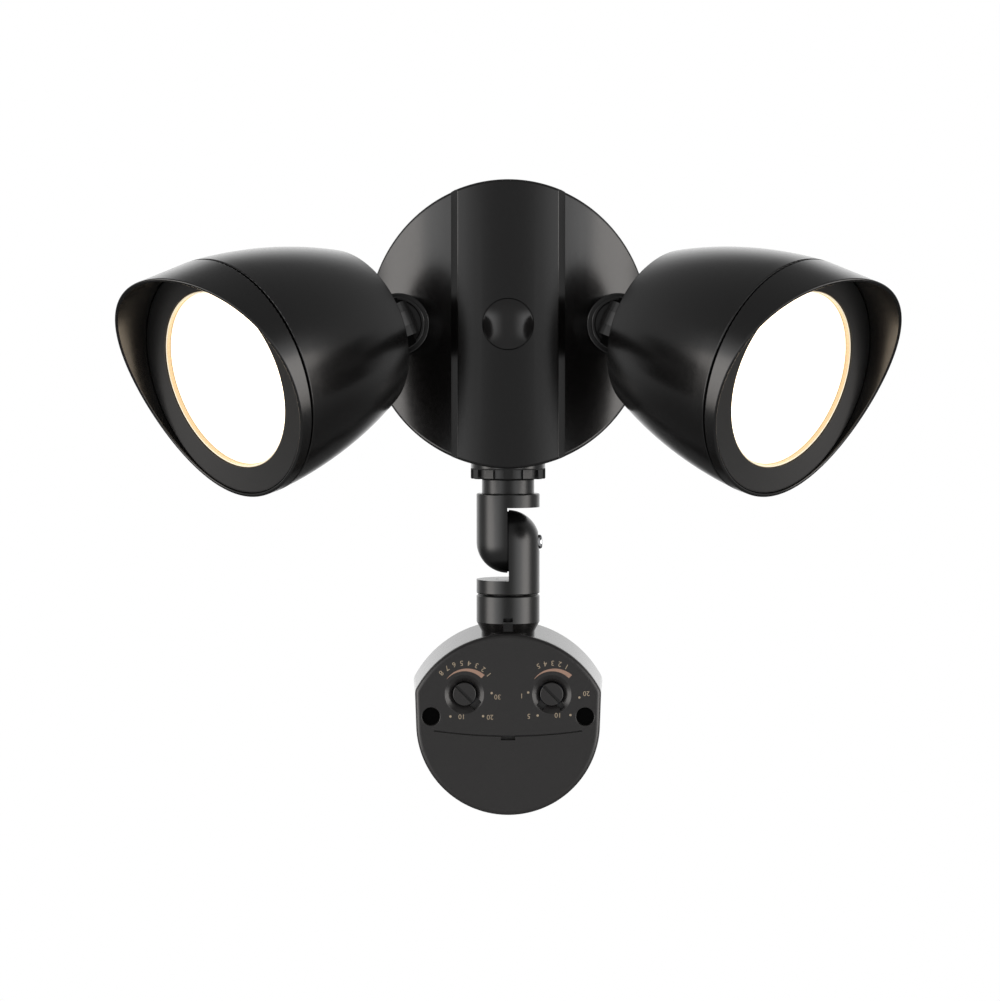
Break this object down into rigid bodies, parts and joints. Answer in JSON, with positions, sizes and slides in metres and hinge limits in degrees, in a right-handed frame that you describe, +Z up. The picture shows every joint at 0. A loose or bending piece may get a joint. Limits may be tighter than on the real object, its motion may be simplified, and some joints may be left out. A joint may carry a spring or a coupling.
{
  "type": "security flood light",
  "caption": "Wall-mounted twin-head LED security flood light: round canopy, swivelling bullet heads with eyelid visors, motion sensor on a jointed arm below.",
  "frame": {"origin": "centre of the round canopy's back, on the wall plane, midway between the outlet-box screw slots", "axes": "+Z up, -Y out from the wall towards the viewer, +X to the viewer's right"},
  "size_m": [0.3058, 0.147, 0.2658],
  "materials": {
    "canopy_coat": "gloss",
    "head_coat": "satin",
    "plug_plastic": "gloss",
    "arm_plastic": "satin",
    "sensor_plastic": "satin",
    "gasket_rubber": "matte",
    "zinc_steel": "satin",
    "ground_green": "satin",
    "chrome_screw": "polished",
    "bare_aluminium": "satin",
    "board_white": "satin",
    "board_green": "satin",
    "chip_phosphor": "satin",
    "lens_frosted": "satin",
    "lens_milky": "satin",
    "part_black": "matte",
    "part_yellow": "satin",
    "part_white": "satin",
    "part_blue": "satin"
  },
  "bodies": {
    "canopy": {"canopy": "canopy_coat", "wall_gasket": "gasket_rubber", "mounting_bar": "zinc_steel", "ground_screw": "ground_green", "centre_screw": "zinc_steel", "centre_plug": "plug_plastic", "driver_board": "board_green", "driver_transformer": "part_yellow", "driver_capacitor": "part_black", "wire_connector": "part_white", "driver_screws": "zinc_steel", "left_swivel_collar": "head_coat", "right_swivel_collar": "head_coat", "arm_gasket": "gasket_rubber", "lock_nut": "arm_plastic"},
    "left_post": {"left_swivel_post": "head_coat", "left_post_nut": "zinc_steel"},
    "left_head": {"left_head_housing": "head_coat", "left_heat_plate": "bare_aluminium", "left_led_board": "board_white", "left_led_chips": "chip_phosphor", "left_plate_screws": "zinc_steel", "left_visor": "head_coat", "left_lens_gasket": "gasket_rubber", "left_lens": "lens_frosted", "left_bezel": "head_coat", "left_tilt_screw": "zinc_steel", "left_tilt_nut": "zinc_steel"},
    "right_post": {"right_swivel_post": "head_coat", "right_post_nut": "zinc_steel"},
    "right_head": {"right_head_housing": "head_coat", "right_heat_plate": "bare_aluminium", "right_led_board": "board_white", "right_led_chips": "chip_phosphor", "right_plate_screws": "zinc_steel", "right_visor": "head_coat", "right_lens_gasket": "gasket_rubber", "right_lens": "lens_frosted", "right_bezel": "head_coat", "right_tilt_screw": "zinc_steel", "right_tilt_nut": "zinc_steel"},
    "arm": {"upper_elbow": "arm_plastic", "elbow_washer": "gasket_rubber", "elbow_screw": "chrome_screw"},
    "lower_arm": {"lower_elbow": "arm_plastic", "neck_clip": "zinc_steel"},
    "sensor": {"neck_ring": "arm_plastic", "sensor_housing": "sensor_plastic", "sensor_cover": "sensor_plastic", "fresnel_lens": "lens_milky", "sensor_board": "board_green", "detector_holder": "part_black", "motion_detector": "zinc_steel", "light_cell": "lens_milky", "sensitivity_pot": "part_blue", "timer_pot": "part_blue", "sensor_screws": "zinc_steel"},
    "sensitivity_dial": {"sensitivity_knob": "sensor_plastic"},
    "timer_dial": {"timer_knob": "sensor_plastic"}
  },
  "joints": [
    {"name": "left_swivel", "type": "hinge", "parent": "canopy", "child": "left_post", "pos_m": [-0.0458, -0.034, 0], "axis": [0, 1, 0], "range_deg": [-15, 83]},
    {"name": "left_tilt", "type": "hinge", "parent": "left_post", "child": "left_head", "pos_m": [-0.0458, -0.048, 0], "axis": [0.3987, 0, -0.9171], "range_deg": [-36, 8]},
    {"name": "right_swivel", "type": "hinge", "parent": "canopy", "child": "right_post", "pos_m": [0.0458, -0.034, 0], "axis": [0, -1, 0], "range_deg": [-15, 83]},
    {"name": "right_tilt", "type": "hinge", "parent": "right_post", "child": "right_head", "pos_m": [0.0458, -0.048, 0], "axis": [0.3987, 0, 0.9171], "range_deg": [-36, 8]},
    {"name": "arm_pan", "type": "hinge", "parent": "canopy", "child": "arm", "pos_m": [0, -0.018, -0.0706], "axis": [0, 0, 1], "range_deg": [-25, 25]},
    {"name": "elbow_bend", "type": "hinge", "parent": "arm", "child": "lower_arm", "pos_m": [0, -0.018, -0.0915], "axis": [-1, 0, 0], "range_deg": [0, 90]},
    {"name": "sensor_turn", "type": "hinge", "parent": "lower_arm", "child": "sensor", "pos_m": [0, -0.018, -0.1204], "axis": [0, 0, 1], "range_deg": [-180, 180]},
    {"name": "sensitivity_turn", "type": "hinge", "parent": "sensor", "child": "sensitivity_dial", "pos_m": [-0.0183, -0.0342, -0.1547], "axis": [0, -1, 0], "range_deg": [-135, 135]},
    {"name": "timer_turn", "type": "hinge", "parent": "sensor", "child": "timer_dial", "pos_m": [0.0183, -0.0342, -0.1547], "axis": [0, -1, 0], "range_deg": [-135, 135]}
  ]
}
